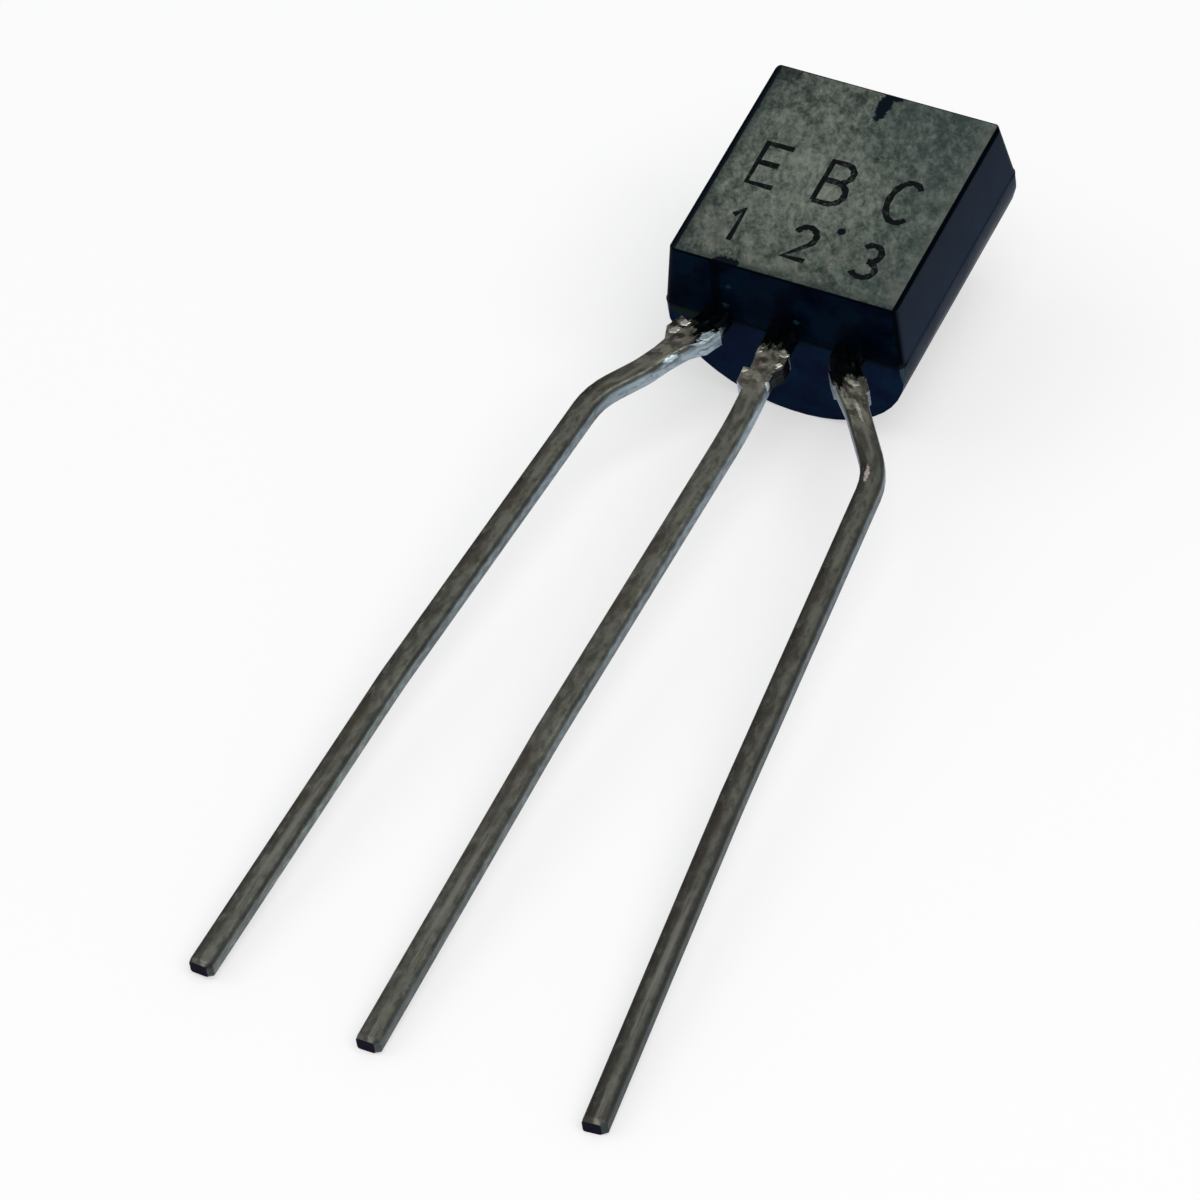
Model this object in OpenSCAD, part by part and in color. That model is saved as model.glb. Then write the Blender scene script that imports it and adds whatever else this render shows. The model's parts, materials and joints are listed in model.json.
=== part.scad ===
// A small-signal transistor in the three-lead TO-92 outline, lying on its round back with its flat side up.
//
// Package frame: the origin is where the middle lead leaves the body, on the parting plane y = 0. The flat
// side faces -Y, the round back faces +Y, the body rises along +Z and the leads hang down along -Z.
// Row frame: lay_down() turns the package so that it rests on z = 0, with its leads towards -Y.

/* [Body] */
// Width across the parting line
body_w = 4.6; // [4.2:0.05:5.6]
// Height at the parting line, from the lead end to the crown
body_h = 4.96; // [4.4:0.02:6]
// Distance from the parting plane to the flat side
front_depth = 1.3; // [1.1:0.05:1.6]
// Slope of the front half's two sides, in degrees
side_draft = 5.5; // [2:0.5:8]
// Slope of the front half's two ends, in degrees
front_end_draft = 7.5; // [3:0.5:10]
// Slope of the back half's two ends, in degrees
back_end_draft = 5; // [3:0.1:8]
// Radius along the flat side's two long edges, where it meets the body's sides
edge_r = 0.09; // [0.03:0.01:0.15]
// Radius along the flat side's other two edges, at the lead end and the crown
end_edge_r = 0.05; // [0.03:0.01:0.15]
// Radius of the body's four corners, seen from the flat side
corner_r = 0.16; // [0.05:0.01:0.3]
// How far the moulding line stands proud at the parting plane
flash_proud = 0.01; // [0.005:0.005:0.05]
// Thickness of the moulding line
flash_t = 0.04; // [0.02:0.01:0.08]

/* [Leads] */
// Distance between neighbouring leads where they leave the body
pitch = 1.27; // [1.1:0.01:1.55]
// Width of a lead below its neck
lead_w = 0.43; // [0.35:0.01:0.52]
// Thickness of the strip that the leads are stamped from
lead_t = 0.38; // [0.3:0.01:0.46]
// Radius of a lead's four long edges
lead_edge_r = 0.1; // [0.03:0.01:0.14]
// Width of a lead's neck, where it leaves the body
neck_w = 0.54; // [0.45:0.01:0.7]
// Straight stretch of neck below the body, before its bend
root_len = 0.08; // [0.05:0.01:0.2]
// Stretch of neck between its bend and the cut-off tie bar
neck_len = 0.18; // [0.1:0.01:0.3]
// Height of the tie bar that joined the leads before it was cut away
tie_bar_h = 0.34; // [0.2:0.01:0.5]
// How far the longest cut end of the tie bar stands out from its neck
tie_bar_stub = 0.13; // [0.05:0.01:0.2]
// Longest stretch over which a cut end of the tie bar slopes back to its lead
tie_bar_foot = 0.5; // [0.1:0.01:0.5]
// Length over which a neck narrows to its lead
taper_len = 0.5; // [0.1:0.01:0.6]
// Height of the rolled edge at a lead's cut tip
tip_roll = 0.05; // [0.02:0.01:0.08]
// How far the cutter dragged the tip's metal towards the round back and the emitter's side
tip_drag = 0.07; // [0:0.01:0.1]

/* [Lead forming] */
// Radius of the bend where a lead leaves the body
root_bend_r = 0.45; // [0.4:0.05:0.8]
// Radius of the knee, where an outer lead turns back down
knee_r = 1.4; // [0.8:0.1:2]
// Slant of the emitter lead where it leaves the body, in degrees
emitter_slant = 26; // [10:1:40]
// Further slant that the emitter lead takes on its way out, in degrees
emitter_sag = 8.5; // [1:0.5:12]
// Length of the emitter lead's slanted stretch, without its bends
emitter_slant_len = 1.84; // [1.4:0.01:2.4]
// Angle at which the emitter lead runs on below its knee, in degrees
emitter_splay = 4.5; // [0:0.5:8]
// Angle that the emitter lead loses again half way down, in degrees
emitter_bow = 2; // [0.5:0.1:4]
// Length of the emitter lead below its knee
emitter_shank = 12.65; // [9:0.05:16]
// Slant of the collector lead where it leaves the body, in degrees
collector_slant = 36.5; // [10:0.5:40]
// Length of the collector lead's slanted stretch, without its bends
collector_slant_len = 2.1; // [1.4:0.01:2.4]
// Angle at which the collector lead runs on below its knee, in degrees
collector_splay = 4.9; // [0:0.1:8]
// Angle that the collector lead gains half way down, in degrees
collector_bow = 1; // [0.5:0.1:4]
// Length of the collector lead below its knee
collector_shank = 13.45; // [9:0.05:16]
// Lean of the base lead towards the collector where it leaves the body, in degrees
base_lean = 3.8; // [0.5:0.1:5]
// Angle at which the base lead runs back towards the emitter, in degrees
base_drift = 1.4; // [0.1:0.1:2]
// Angle that the base lead gains half way down, in degrees
base_bow = 1.5; // [0.5:0.1:4]
// Length of the base lead over which it leans, without its bends
base_lean_len = 1.5; // [1.1:0.1:3]
// Length of the base lead below that
base_shank = 13.2; // [9:0.05:16]

/* [Inside] */
// Depth to which a neck keeps its section inside the body
seat_depth = 0.3; // [0.2:0.05:0.5]
// Height of the top of the emitter lead's post above the lead end
emitter_post_top = 3.5; // [3.2:0.05:3.8]
// Height of the emitter lead's post
emitter_post_h = 1; // [0.8:0.05:1.2]
// Height of the top of the base lead's post above the lead end
base_post_top = 1.75; // [1.5:0.05:2]
// Height of the base lead's post
base_post_h = 0.75; // [0.6:0.05:0.9]
// Width of both posts
post_w = 0.95; // [0.8:0.05:1.1]
// Gap between two pieces of the lead frame
frame_gap = 0.35; // [0.25:0.05:0.45]
// Height of the collector lead's flag, which carries the chip
flag_h = 1.75; // [1.5:0.05:2]
// Distance of the chip's centre from the flag's two edges that face the posts
die_inset = 0.78; // [0.6:0.01:0.9]
// Side of the square chip
die_w = 0.46; // [0.3:0.01:0.6]
// Thickness of the chip
die_t = 0.2; // [0.1:0.01:0.3]
// Thickness of the layer that fixes the chip
attach_t = 0.03; // [0.01:0.005:0.05]
// Margin of that layer round the chip
attach_margin = 0.05; // [0.02:0.01:0.1]
// Diameter of a bond wire
wire_d = 0.038; // [0.025:0.001:0.06]
// Height that a bond wire rises above its ball before it bends
wire_rise = 0.1; // [0.05:0.01:0.2]
// Length of a bond wire's stitch on its post
stitch_len = 0.13; // [0.08:0.01:0.2]

/* [Hidden] */
$fn = 96;

// Neighbouring stretches of a swept form run into each other by overlap. Bends and tapers are fuller than
// the straight stretches by $fuller, so that a stretch ends inside its neighbour.
overlap = 0.01;
swell = 0.001;
$fuller = 0;

back_r = body_w / 2;
front_half_w = back_r - front_depth * tan(side_draft);
front_rise = front_depth * tan(front_end_draft);
back_rise = back_r * tan(back_end_draft);

corner_steps = 6;
bow_r = 12;
sag_r = 1.5;
sag_place = 0.4;
neck_total = neck_len + tie_bar_h;

// The cut ends of the tie bar on a lead's left and right: how much of the longest one is left, how far the
// cutter dragged it down, and its foot as a share of the longest foot.
emitter_cuts = [[1, 0.06, 0.6], [0.5, -0.2, 1]];
base_cuts = [[0.45, 0.7, 0.35], [0.55, 0.22, 0.5]];
collector_cuts = [[0.3, -0.1, 0.2], [0.15, 0.2, 0.2]];

// A path is a list of stretches, each [straight length, turn, bend radius]. It starts down along -Z, and a
// positive turn, in degrees, is towards +X.
emitter_root = [[0, -emitter_slant, root_bend_r]];
base_root = [[0, base_lean, root_bend_r]];
collector_root = [[0, collector_slant, root_bend_r]];

// What is left of each lead's first stretch below its taper.
emitter_rest = emitter_slant_len - neck_total - taper_len;
base_rest = base_lean_len - neck_total - taper_len;
collector_rest = collector_slant_len - neck_total - taper_len;
emitter_run = [
    [emitter_rest * sag_place, -emitter_sag, sag_r],
    [emitter_rest * (1 - sag_place), emitter_slant + emitter_sag - emitter_splay, knee_r],
    [emitter_shank / 2, emitter_bow, bow_r],
    [emitter_shank / 2, 0, 0]
];
base_run = [
    [base_rest, -base_lean - base_drift, bow_r],
    [base_shank / 2, base_bow, bow_r],
    [base_shank / 2, 0, 0]
];
collector_run = [
    [collector_rest, collector_splay - collector_slant, knee_r],
    [collector_shank / 2, collector_bow, bow_r],
    [collector_shank / 2, 0, 0]
];

// A pose is [x, z, heading], with the heading in degrees from -Z towards +X.
function ahead(pose, length) =
    [pose[0] + length * sin(pose[2]), pose[1] - length * cos(pose[2]), pose[2]];
function after_bend(pose, turn, r) = [
    pose[0] + sign(turn) * r * (cos(pose[2]) - cos(pose[2] + turn)),
    pose[1] + sign(turn) * r * (sin(pose[2]) - sin(pose[2] + turn)),
    pose[2] + turn
];
function path_end(path, pose, i = 0) =
    i == len(path)
        ? pose
        : path_end(path, after_bend(ahead(pose, path[i][0]), path[i][1], path[i][2]), i + 1);
function lead_tip(x, root, run) =
    path_end(run, ahead(path_end(root, [x, -root_len, 0]), neck_total + taper_len));

emitter_tip = lead_tip(-pitch, emitter_root, emitter_run);
base_tip = lead_tip(0, base_root, base_run);
collector_tip = lead_tip(pitch, collector_root, collector_run);
longest = tip_roll - min(emitter_tip[1], base_tip[1], collector_tip[1]);

// The package rests on the lead end of its round back and on the dragged edge of its longest lead's tip.
tip_back = lead_t / 2 + tip_drag - tip_roll;
rest_tilt = atan((back_r - tip_back) / (back_rise + longest));
crown_reach = back_r * sin(rest_tilt) + (body_h - back_rise) * cos(rest_tilt);
row_x = -(emitter_tip[0] + collector_tip[0]) / 2;
row_y = (longest * cos(rest_tilt) - crown_reach) / 2;
row_z = back_r * cos(rest_tilt) - back_rise * sin(rest_tilt);

emitter_post_right = post_w / 2 - pitch;
flag_left = emitter_post_right + frame_gap;
flag_bottom = base_post_top + frame_gap;
flag_right = pitch + neck_w / 2;
die_x = flag_left + die_inset;
die_z = flag_bottom + die_inset;
die_top = lead_t / 2 + attach_t + die_t;

pad_inset = die_w / 4;
ball_d = 2.4 * wire_d;
ball_h = 0.6 * wire_d;
wire_bend_r = 4 * wire_d;
stitch_sink = wire_d / 3;

module lay_down() {
    translate([row_x, row_y, row_z]) rotate([rest_tilt - 90, 0, 0]) children();
}

// ---- Outlines ----

// A rectangle with rounded corners, as points, so that bends and tapers meet corner to corner.
function rounded(w, t, r) = [
    for (corner = [[1, 1, 0], [-1, 1, 90], [-1, -1, 180], [1, -1, 270]], step = [0:corner_steps])
        let (a = corner[2] + 90 * step / corner_steps)
        [corner[0] * (w / 2 - r) + r * cos(a), corner[1] * (t / 2 - r) + r * sin(a)]
];

// A lead's section, drawn in by the margin.
module strip(w, margin = 0) {
    inset = margin - $fuller;
    polygon(rounded(w - 2 * inset, lead_t - 2 * inset, max(lead_edge_r - inset, swell)));
}

// A bond wire's section.
module round_wire() {
    circle(d = wire_d + 2 * $fuller);
}

// What rounding takes off the corner of an outline, whose two edges leave it at the headings a and b.
module corner_waste(corner, a, b, r) {
    half = (b - a) / 2;
    inward = [cos(a + half), sin(a + half)];
    centre = corner + r / sin(half) * inward;
    difference() {
        polygon([
            corner - overlap * inward,
            corner + r / tan(half) * [cos(a), sin(a)],
            centre,
            corner + r / tan(half) * [cos(b), sin(b)]
        ]);
        translate(centre) circle(r);
    }
}

// ---- Body ----

// A thin plate with rounded corners, upright across the body, from y towards the round back.
module plate(y, w, h, r, thickness) {
    translate([0, y, body_h / 2]) rotate([-90, 0, 0]) linear_extrude(thickness) polygon(rounded(w, h, r));
}

// What rounding takes off the flat side's four edges.
module flat_edge_waste() {
    translate([0, 0, -overlap])
        linear_extrude(body_h + 2 * overlap) {
            corner_waste([-front_half_w, -front_depth], 0, 90 + side_draft, edge_r);
            corner_waste([front_half_w, -front_depth], 90 - side_draft, 180, edge_r);
        }
    rotate([90, 0, 90])
        linear_extrude(body_w + overlap, center = true) {
            corner_waste([-front_depth, front_rise], -front_end_draft, 90, end_edge_r);
            corner_waste([-front_depth, body_h - front_rise], -90, front_end_draft, end_edge_r);
        }
}

// The front half, which narrows towards the flat side.
module front_half() {
    difference() {
        hull() {
            plate(0, body_w, body_h, corner_r, swell);
            plate(-front_depth, 2 * front_half_w, body_h - 2 * front_rise, corner_r, swell);
        }
        flat_edge_waste();
    }
}

// The half round back, with its ends sloped and its corners rounded to meet the front's.
module back_half() {
    intersection() {
        translate([0, 0, -overlap])
            linear_extrude(body_h + 2 * overlap)
                intersection() {
                    circle(back_r);
                    translate([-back_r, -overlap]) square([body_w, back_r + 2 * overlap]);
                }
        rotate([90, 0, 90])
            linear_extrude(body_w + overlap, center = true)
                polygon([
                    [-2 * overlap, 0],
                    [0, 0],
                    [back_r + overlap, back_rise + overlap * tan(back_end_draft)],
                    [back_r + overlap, body_h - back_rise - overlap * tan(back_end_draft)],
                    [0, body_h],
                    [-2 * overlap, body_h]
                ]);
        plate(-3 * overlap, body_w + overlap, body_h + overlap, corner_r + overlap / 2, body_w);
    }
}

// The line that the mould leaves round the body where its two halves part.
module moulding_line() {
    plate(-flash_t / 2, body_w + 2 * flash_proud, body_h + 2 * flash_proud, corner_r + flash_proud, flash_t);
}

// ---- Bent and swept forms ----

// A straight stretch of an outline, from the origin down.
module straight(length) {
    translate([0, 0, -length - overlap]) linear_extrude(length + 2 * overlap) children();
}

// One bend of an outline towards +X. It starts at the origin and heads down.
module bend(turn, r) {
    $fuller = swell;
    translate([r, 0, 0])
        rotate([-90, 0, 180])
            rotate_extrude(angle = turn)
                translate([r, 0])
                    children();
}

// An outline swept along a path.
module sweep(path, i = 0) {
    if (i < len(path)) {
        length = path[i][0];
        turn = path[i][1];
        r = path[i][2];
        next = after_bend([0, -length, 0], turn, r);
        if (length > 0)
            straight(length) children();
        if (turn != 0)
            translate([0, 0, -length]) rotate([0, 0, turn < 0 ? 180 : 0]) bend(abs(turn), r) children();
        translate([next[0], 0, next[1]]) rotate([0, -turn, 0]) sweep(path, i + 1) children();
    }
}

// Moves what is drawn at the start of a path to its end.
module at_end(path) {
    end = path_end(path, [0, 0, 0]);
    translate([end[0], 0, end[1]]) rotate([0, -end[2], 0]) children();
}

// The narrowing of a neck to its lead, with its top at z = 0.
module taper() {
    $fuller = swell;
    hull() {
        translate([0, 0, -overlap]) linear_extrude(overlap) strip(neck_w);
        translate([0, 0, -taper_len]) linear_extrude(overlap) strip(lead_w);
    }
}

// The last of a lead, which the cutter rolled at two edges and dragged at the other two.
module cut_tip() {
    $fuller = swell;
    hull() {
        translate([0, 0, -overlap]) linear_extrude(overlap) strip(lead_w);
        translate([-tip_drag, tip_drag, -tip_roll]) linear_extrude(overlap) strip(lead_w, tip_roll);
    }
}

// What the cutter left of the tie bar on one side of a neck, with a foot that slopes back to the lead.
module tie_bar_end(side, cut) {
    reach = neck_w / 2 + tie_bar_stub * cut[0];
    bottom = -neck_total - cut[1];
    foot = bottom - tie_bar_foot * cut[2];
    mirror([side < 0 ? 1 : 0, 0, 0])
        rotate([90, 0, 0])
            linear_extrude(lead_t, center = true)
                polygon([
                    [0, bottom + tie_bar_h],
                    [reach, bottom + tie_bar_h],
                    [reach, bottom],
                    [lead_w / 2 - lead_edge_r, foot],
                    [0, foot]
                ]);
}

// A lead from the body down: neck, tie bar ends, taper, shank and cut tip.
module formed_lead(root, run, cuts) {
    translate([0, 0, -root_len]) {
        sweep(root) strip(neck_w);
        at_end(root) {
            straight(neck_total) strip(neck_w);
            tie_bar_end(-1, cuts[0]);
            tie_bar_end(1, cuts[1]);
            translate([0, 0, -neck_total]) {
                taper();
                translate([0, 0, -taper_len]) {
                    sweep(run) strip(lead_w);
                    at_end(run) cut_tip();
                }
            }
        }
    }
}

// ---- Lead frame inside the body ----

module seat(x) {
    translate([x, 0, -root_len - overlap]) linear_extrude(root_len + overlap + seat_depth) strip(neck_w);
}

// A flat piece of the lead frame, from its lower left corner.
module frame_plate(x, z, w, h) {
    translate([x, -lead_t / 2, z]) cube([w, lead_t, h]);
}

// A stem with a post on it for a bond wire.
module stem_and_post(x, post_top, post_h) {
    seat(x);
    frame_plate(x - neck_w / 2, seat_depth, neck_w, post_top - post_h - seat_depth);
    frame_plate(x - post_w / 2, post_top - post_h, post_w, post_h);
}

module stem_and_flag() {
    seat(pitch);
    frame_plate(pitch - neck_w / 2, seat_depth, neck_w, flag_bottom - seat_depth);
    frame_plate(flag_left, flag_bottom, flag_right - flag_left, flag_h);
}

// ---- Bond wires ----

// The path of a wire that spans a distance: up from its ball, over, straight down and along its post.
function wire_path(span) =
    let (
        drop = die_top - lead_t / 2 + ball_h + wire_rise - wire_d / 2 + stitch_sink - wire_bend_r,
        reach = span - stitch_len - wire_bend_r,
        apart = norm([reach, drop]),
        fall = atan2(drop, reach) + asin(2 * wire_bend_r / apart)
    )
    [
        [wire_rise, 90 + fall, wire_bend_r],
        [sqrt(apart * apart - 4 * wire_bend_r * wire_bend_r), -fall, wire_bend_r],
        [stitch_len, 0, 0]
    ];

// A wire from the chip's corner nearest the post to the middle of the post.
module bond_wire(post_x, post_z, pad_x, pad_z) {
    across = [post_x - pad_x, post_z - pad_z];
    difference() {
        translate([pad_x, -die_top, pad_z]) {
            rotate([90, 0, 0]) cylinder(d = ball_d, h = ball_h);
            translate([0, -ball_h, 0])
                rotate([-90, -atan2(across[1], across[0]), 0])
                    sweep(wire_path(norm(across))) round_wire();
        }
        frame_plate(post_x - post_w, post_z - post_w, 2 * post_w, 2 * post_w);
    }
}

// ---- Sub-parts ----

module body() {
    color([0.12, 0.13, 0.14])
        difference() {
            union() {
                front_half();
                back_half();
                moulding_line();
            }
            stem_and_post(-pitch, emitter_post_top, emitter_post_h);
            stem_and_post(0, base_post_top, base_post_h);
            stem_and_flag();
            die_attach();
            die();
            emitter_wire();
            base_wire();
        }
}

module emitter_lead() {
    color([0.72, 0.72, 0.7]) {
        stem_and_post(-pitch, emitter_post_top, emitter_post_h);
        translate([-pitch, 0, 0]) formed_lead(emitter_root, emitter_run, emitter_cuts);
    }
}

module base_lead() {
    color([0.72, 0.72, 0.7]) {
        stem_and_post(0, base_post_top, base_post_h);
        formed_lead(base_root, base_run, base_cuts);
    }
}

module collector_lead() {
    color([0.72, 0.72, 0.7]) {
        stem_and_flag();
        translate([pitch, 0, 0]) formed_lead(collector_root, collector_run, collector_cuts);
    }
}

module die_attach() {
    side = die_w + 2 * attach_margin;
    color([0.8, 0.8, 0.82])
        translate([die_x - side / 2, -lead_t / 2 - attach_t, die_z - side / 2])
            cube([side, attach_t, side]);
}

module die() {
    color([0.3, 0.32, 0.4])
        translate([die_x - die_w / 2, -die_top, die_z - die_w / 2])
            cube([die_w, die_t, die_w]);
}

module emitter_wire() {
    color([0.9, 0.75, 0.35])
        bond_wire(-pitch, emitter_post_top - emitter_post_h / 2, die_x - pad_inset, die_z + pad_inset);
}

module base_wire() {
    color([0.9, 0.75, 0.35])
        bond_wire(0, base_post_top - base_post_h / 2, die_x - pad_inset, die_z - pad_inset);
}

lay_down() body();
lay_down() emitter_lead();
lay_down() base_lead();
lay_down() collector_lead();
lay_down() die();
lay_down() die_attach();
lay_down() emitter_wire();
lay_down() base_wire();
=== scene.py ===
"""Camera, light, floor, materials and marks for the three-lead transistor.

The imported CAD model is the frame. Its flat side faces up, and its leads point towards -Y. Blender's lengths
are in metres. Places on the part are in millimetres from the middle of the flat side, and are given across
(+X), along (from the lead end to the crown) and out (out of the flat side).
"""

import itertools
import json
import math
from collections import namedtuple

import bpy
from mathutils import Matrix, Vector


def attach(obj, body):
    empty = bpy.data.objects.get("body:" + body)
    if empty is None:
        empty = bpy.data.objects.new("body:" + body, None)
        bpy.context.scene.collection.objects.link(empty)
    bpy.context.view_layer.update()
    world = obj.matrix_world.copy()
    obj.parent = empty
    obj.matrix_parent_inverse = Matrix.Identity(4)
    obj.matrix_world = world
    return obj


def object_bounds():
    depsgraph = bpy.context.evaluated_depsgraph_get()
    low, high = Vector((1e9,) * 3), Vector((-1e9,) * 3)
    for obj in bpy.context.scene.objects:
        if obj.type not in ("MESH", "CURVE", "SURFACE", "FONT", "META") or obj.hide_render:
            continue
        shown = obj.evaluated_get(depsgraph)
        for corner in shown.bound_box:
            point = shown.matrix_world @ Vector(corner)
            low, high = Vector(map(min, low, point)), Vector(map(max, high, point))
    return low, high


MM = 0.001

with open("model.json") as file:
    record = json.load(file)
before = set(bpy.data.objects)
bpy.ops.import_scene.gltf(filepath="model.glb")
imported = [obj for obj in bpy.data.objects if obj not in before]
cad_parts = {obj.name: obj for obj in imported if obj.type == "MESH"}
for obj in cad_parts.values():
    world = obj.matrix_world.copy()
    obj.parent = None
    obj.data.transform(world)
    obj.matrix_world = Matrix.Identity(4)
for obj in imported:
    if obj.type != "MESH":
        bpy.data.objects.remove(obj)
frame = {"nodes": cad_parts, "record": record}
cad_low, cad_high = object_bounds()
nodes = frame["nodes"]
mounts = {mount["name"]: mount for mount in frame["record"]["mounts"]}

flat_centre = Vector(mounts["flat_side"]["pos_m"])
OUT = Vector(mounts["flat_side"]["axis"]).normalized()
ACROSS = Vector((1, 0, 0))
ALONG = OUT.cross(ACROSS).normalized()


def places(node, axis):
    """How far each corner of a node's mesh lies along an axis from the middle of the flat side."""
    return [(vertex.co - flat_centre).dot(axis) / MM for vertex in node.data.vertices]


# A corner of the body's mesh this near the flat side's plane is on the flat side.
ON_PLANE = 0.001

body = nodes["body"]
body_out = places(body, OUT)
on_flat_side = [place > -ON_PLANE for place in body_out]
HALF_W = max(itertools.compress(places(body, ACROSS), on_flat_side))
HALF_H = max(itertools.compress(places(body, ALONG), on_flat_side))
LEAD_END = min(places(body, ALONG))
# The two halves of the mould part at the body's widest place, and the back is a half circle of that width.
PARTING = min(body_out) + max(places(body, ACROSS))


def section_middles(node, stations):
    """The middle of a lead's section at each station along it, as rows of (station, across, out)."""
    at = list(zip(places(node, ALONG), places(node, ACROSS), places(node, OUT)))
    rows = []
    for station in stations:
        section = []
        for edge in node.data.edges:
            a, b = (at[index] for index in edge.vertices)
            if (a[0] - station) * (b[0] - station) < 0:
                share = (station - a[0]) / (b[0] - a[0])
                section.append([a[i] + (b[i] - a[i]) * share for i in (1, 2)])
        middle = [(min(part) + max(part)) / 2 for part in zip(*section)]
        rows.append((station, *middle))
    return rows


LEADS = ("emitter_lead", "base_lead", "collector_lead")
# How far inside the lead end a lead's place across is taken.
ROOT_DEPTH = 0.14
ROOT_PLACES = [section_middles(nodes[name], [LEAD_END + ROOT_DEPTH])[0][1] for name in LEADS]


# ---- Node helpers ----

# A followed line that is flatter than this counts as this high, so that nothing is divided by 0.
LEAST_SPAN = 1e-6
# Where the Mix node has its colour sockets, among those for its other kinds of value.
MIX_FACTOR, MIX_A, MIX_B, MIX_RESULT = 0, 6, 7, 2


class Nodes:
    """Builds the node tree of a material or of the world."""

    def __init__(self, tree):
        self.tree = tree
        tree.nodes.clear()

    def add(self, kind, inputs=None, **settings):
        node = self.tree.nodes.new(kind)
        for name, value in settings.items():
            setattr(node, name, value)
        for name, value in (inputs or {}).items():
            self.feed(node.inputs[name], value)
        return node

    def feed(self, socket, value):
        if isinstance(value, bpy.types.NodeSocket):
            self.tree.links.new(value, socket)
        elif hasattr(value, "__len__") and len(value) == 3 and socket.type == "RGBA":
            socket.default_value = (*value, 1)
        else:
            socket.default_value = value

    def math(self, operation, a, b=0.0, clamp=False):
        node = self.add("ShaderNodeMath", {0: a, 1: b}, operation=operation, use_clamp=clamp)
        return node.outputs[0]

    def plus(self, first, *rest):
        for value in rest:
            first = self.math("ADD", first, value)
        return first

    def times(self, first, *rest):
        for value in rest:
            first = self.math("MULTIPLY", first, value)
        return first

    def maximum(self, first, *rest):
        for value in rest:
            first = self.math("MAXIMUM", first, value)
        return first

    def minus(self, a, b):
        return self.math("SUBTRACT", a, b)

    def absolute(self, value):
        return self.math("ABSOLUTE", value)

    def dot(self, a, b):
        node = self.add("ShaderNodeVectorMath", {0: a, 1: b}, operation="DOT_PRODUCT")
        return node.outputs["Value"]

    def offset(self, a, b):
        node = self.add("ShaderNodeVectorMath", {0: a, 1: b}, operation="ADD")
        return node.outputs["Vector"]

    def join(self, x, y, z):
        return self.add("ShaderNodeCombineXYZ", {"X": x, "Y": y, "Z": z}).outputs[0]

    def ramp(self, value, low, high, to_low=0.0, to_high=1.0):
        """A smooth step from to_low at low to to_high at high."""
        node = self.add(
            "ShaderNodeMapRange",
            {"Value": value, "From Min": low, "From Max": high, "To Min": to_low, "To Max": to_high},
            interpolation_type="SMOOTHSTEP",
        )
        return node.outputs["Result"]

    def mix(self, factor, a, b):
        """Colour a where the factor is 0, and colour b where it is 1."""
        node = self.add("ShaderNodeMix", {MIX_FACTOR: factor, MIX_A: a, MIX_B: b}, data_type="RGBA")
        return node.outputs[MIX_RESULT]

    def stain(self, colour, tint, *factors):
        """The colour turned to the tint by the product of the factors."""
        return self.mix(self.times(*factors), colour, tint)

    def noise(self, place, scale, detail=3.0, roughness=0.5, stretch=(1, 1, 1), distortion=0.0):
        mapping = self.add("ShaderNodeMapping", {"Vector": place, "Scale": stretch})
        inputs = {"Vector": mapping.outputs[0], "Scale": scale, "Detail": detail}
        inputs.update({"Roughness": roughness, "Distortion": distortion})
        return self.add("ShaderNodeTexNoise", inputs).outputs["Fac"]

    def wander(self, noise, scale):
        """A noise as a shift to both sides of 0."""
        return self.times(self.minus(noise, 0.5), scale)

    def reach(self, *ways):
        """Distance from a middle, where 1 is on the ellipsoid. Each way is (value, middle, reach)."""
        total = 0.0
        for value, middle, length in ways:
            share = self.math("DIVIDE", self.minus(value, middle), length)
            total = self.plus(total, self.times(share, share))
        return self.math("SQRT", total)

    def patch(self, ragged, outside, inside, *ways):
        """0 where the reach of the ways passes outside, and 1 within inside, along a ragged edge."""
        return self.ramp(self.plus(self.reach(*ways), ragged), outside, inside)

    def follow(self, value, line):
        """A curve through the (value, height) pairs of the line, even in value."""
        starts = [row[0] for row in line]
        heights = [row[1] for row in line]
        low, span = min(heights), max(max(heights) - min(heights), LEAST_SPAN)
        length = starts[-1] - starts[0]
        share = self.math("DIVIDE", self.minus(value, starts[0]), length, clamp=True)
        node = self.add("ShaderNodeFloatCurve", {"Value": share})
        points = node.mapping.curves[0].points
        while len(points) < len(line):
            points.new(0.5, 0.5)
        for point, height, start in zip(points, heights, starts):
            point.location = ((start - starts[0]) / length, (height - low) / span)
            point.handle_type = "VECTOR"
        node.mapping.update()
        return self.plus(self.times(node.outputs[0], span), low)

    def bump(self, height, distance):
        node = self.add("ShaderNodeBump", {"Height": height, "Distance": distance, "Strength": 1.0})
        return node.outputs["Normal"]

    def surface(self, shader):
        output = self.add("ShaderNodeOutputMaterial")
        self.feed(output.inputs["Surface"], shader.outputs[0])


def material(name):
    new = bpy.data.materials.new(name)
    new.use_nodes = True
    return new, Nodes(new.node_tree)


def principled(new, n, inputs):
    """Gives a material its one shader, and gives the material back."""
    n.surface(n.add("ShaderNodeBsdfPrincipled", inputs))
    return new


def dress(node_name, new_material):
    for slot in nodes[node_name].material_slots:
        slot.material = new_material


Place = namedtuple("Place", "across along out point")


def package_place(n):
    """The place on the part as three values, and as one point."""
    at = n.offset(n.add("ShaderNodeTexCoord").outputs["Object"], tuple(-flat_centre))
    parts = [n.times(n.dot(at, tuple(axis)), 1 / MM) for axis in (ACROSS, ALONG, OUT)]
    return Place(*parts, n.join(*parts))


def facing(n, axis):
    """1 where the surface faces along the axis, -1 where it faces away."""
    return n.dot(n.add("ShaderNodeTexCoord").outputs["Normal"], tuple(axis))


# ---- The body's compound ----

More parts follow.
